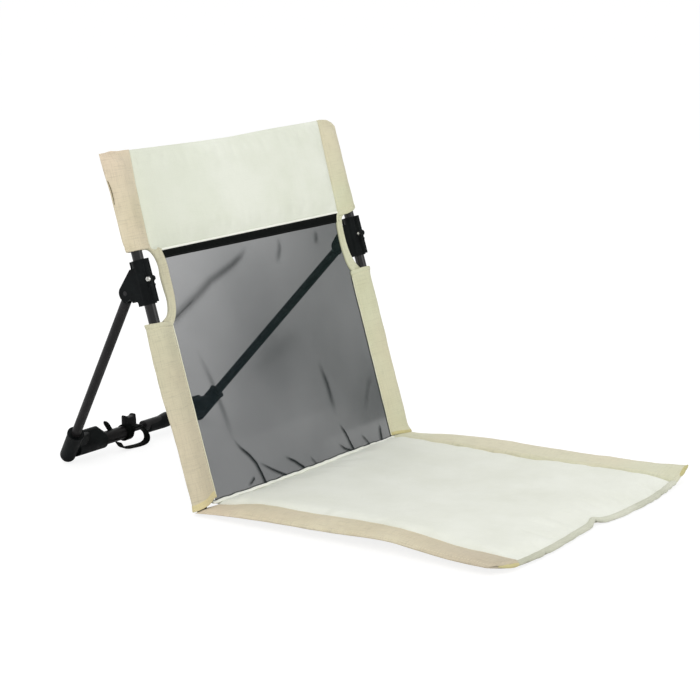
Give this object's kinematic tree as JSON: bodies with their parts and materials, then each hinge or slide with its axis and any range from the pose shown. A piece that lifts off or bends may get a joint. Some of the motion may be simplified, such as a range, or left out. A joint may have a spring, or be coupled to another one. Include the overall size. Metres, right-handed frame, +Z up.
{
  "type": "folding ground chair",
  "caption": "Low folding chair for sitting on the ground, with a flat cloth seat, a reclined mesh back on two uprights and a folding prop frame behind.",
  "frame": {"origin": "on the ground, under the middle of the whole chair", "axes": "+Z up, -Y towards the front of the seat, +X to the right as seen from the front"},
  "size_m": [0.424, 0.6342, 0.3755],
  "materials": {
    "frame_tube": "satin powder coat",
    "black_plastic": "fine-grained, satin",
    "bolt_steel": "bright zinc",
    "pin_steel": "blackened",
    "cream_cloth": "tight plain weave, matte",
    "beige_cloth": "soft plain weave, matte",
    "grey_mesh": "open knitted mesh",
    "black_webbing": "ribbed webbing",
    "buckle_plastic": "satin",
    "seat_foam": "thin foam",
    "base_cloth": "coated cloth"
  },
  "bodies": {
    "backrest": {"upright_left": "frame_tube", "upright_right": "frame_tube", "top_cap_left": "black_plastic", "top_cap_right": "black_plastic", "foot_plug_left": "black_plastic", "foot_plug_right": "black_plastic", "bracket_left": "black_plastic", "bracket_right": "black_plastic", "clamp_bolt_left": "bolt_steel", "clamp_bolt_right": "bolt_steel", "clamp_nut_left": "bolt_steel", "clamp_nut_right": "bolt_steel", "pivot_pin_left": "pin_steel", "pivot_pin_right": "pin_steel", "headrest_front": "cream_cloth", "headrest_back": "cream_cloth", "headrest_sleeve_left": "beige_cloth", "headrest_sleeve_right": "beige_cloth", "webbing_band": "black_webbing", "mesh_panel": "grey_mesh", "window_binding_left": "beige_cloth", "window_binding_right": "beige_cloth", "lower_sleeve_left": "beige_cloth", "lower_sleeve_right": "beige_cloth"},
    "prop_frame": {"knuckle_left": "black_plastic", "knuckle_right": "black_plastic", "leg_left": "frame_tube", "leg_right": "frame_tube", "elbow_left": "black_plastic", "elbow_right": "black_plastic", "bar_tube_left": "frame_tube", "bar_tube_right": "frame_tube", "bar_ferrule_left": "black_plastic", "bar_ferrule_right": "black_plastic", "bar_core": "frame_tube", "strap_anchor": "black_webbing", "strap_band": "black_webbing", "strap_buckle": "buckle_plastic", "strap_tail": "black_webbing"},
    "seat": {"seat_top": "cream_cloth", "seat_pad": "seat_foam", "seat_base": "base_cloth", "seat_band_left": "beige_cloth", "seat_band_right": "beige_cloth", "front_hem": "cream_cloth"}
  },
  "joints": [
    {"name": "prop_fold", "type": "hinge", "parent": "backrest", "child": "prop_frame", "pos_m": [0, 0.14157, 0.22783], "axis": [-1, 0, 0], "range_deg": [0, 54]},
    {"name": "seat_fold", "type": "hinge", "parent": "backrest", "child": "seat", "pos_m": [0, 0.0419, 0.009], "axis": [-1, 0, 0], "range_deg": [0, 100]}
  ]
}
